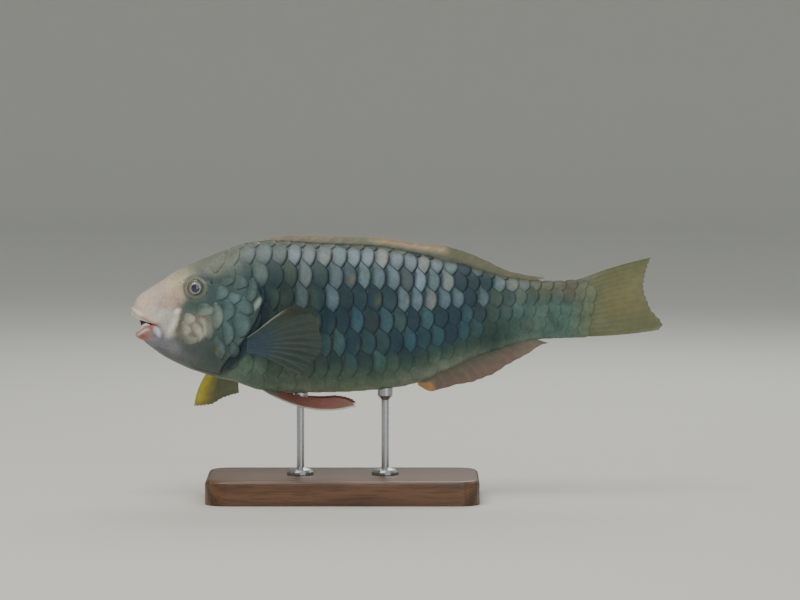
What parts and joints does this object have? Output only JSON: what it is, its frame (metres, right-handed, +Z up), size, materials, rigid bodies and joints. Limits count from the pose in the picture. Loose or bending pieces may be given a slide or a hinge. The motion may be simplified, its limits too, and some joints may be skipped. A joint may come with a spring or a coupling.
{
  "type": "parrotfish display model",
  "caption": "Life-size still model of a large-scaled parrotfish swimming, held over a flat base by short rods.",
  "frame": {"origin": "middle of the flat underside of the stand's base", "axes": "-X is the way the fish swims, -Y its left flank, +Z up"},
  "size_m": [0.3513, 0.1265, 0.1744],
  "materials": {
    "skin": "painted cast of scaled skin, satin",
    "eye": "glass eye, polished",
    "beak": "fused teeth, smooth enamel",
    "dorsal_fin": "thin ribbed fin, satin",
    "red_fin": "thin ribbed fin, satin",
    "tail_fin": "thin ribbed fin, satin",
    "pectoral_fin": "thin ribbed fin, satin",
    "walnut": "oiled walnut",
    "steel": "brushed"
  },
  "bodies": {
    "root": {"head": "skin", "gill_cover_left": "skin", "gill_cover_right": "skin", "torso_front": "skin", "torso_rear": "skin", "tail_stalk": "skin", "eye_left": "eye", "eye_right": "eye", "beak_upper": "beak", "beak_lower": "beak", "dorsal_fin_spiny": "dorsal_fin", "dorsal_fin_soft": "dorsal_fin", "anal_fin": "red_fin", "caudal_fin": "tail_fin", "pectoral_fin_left": "pectoral_fin", "pectoral_fin_right": "pectoral_fin", "pelvic_fin_left": "red_fin", "pelvic_fin_right": "red_fin", "stand_base": "walnut", "stand_rod_front": "steel", "stand_rod_rear": "steel"}
  },
  "joints": []
}
